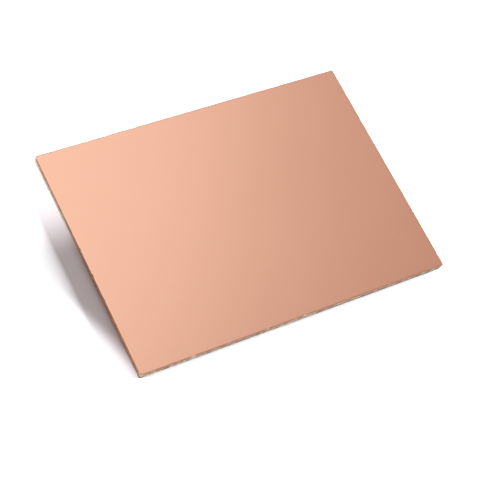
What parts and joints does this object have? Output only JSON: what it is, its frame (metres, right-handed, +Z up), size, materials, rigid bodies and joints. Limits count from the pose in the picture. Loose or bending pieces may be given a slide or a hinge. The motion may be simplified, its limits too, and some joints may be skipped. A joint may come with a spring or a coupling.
{
  "type": "copper clad board",
  "caption": "Flat rectangular laminate sheet for making circuits: a glass and epoxy board with bright copper foil on its upper face, drawn a little way over the shear-cut edges.",
  "frame": {"origin": "middle of the underside, on the surface that the board lies on", "axes": "+X along the longer side, +Y along the shorter side, +Z up out of the copper face"},
  "size_m": [0.07, 0.05, 0.0016],
  "materials": {
    "glass_epoxy": "satin",
    "copper": "satin"
  },
  "bodies": {
    "root": {"glass_epoxy_sheet": "glass_epoxy", "copper_foil": "copper"}
  },
  "joints": []
}
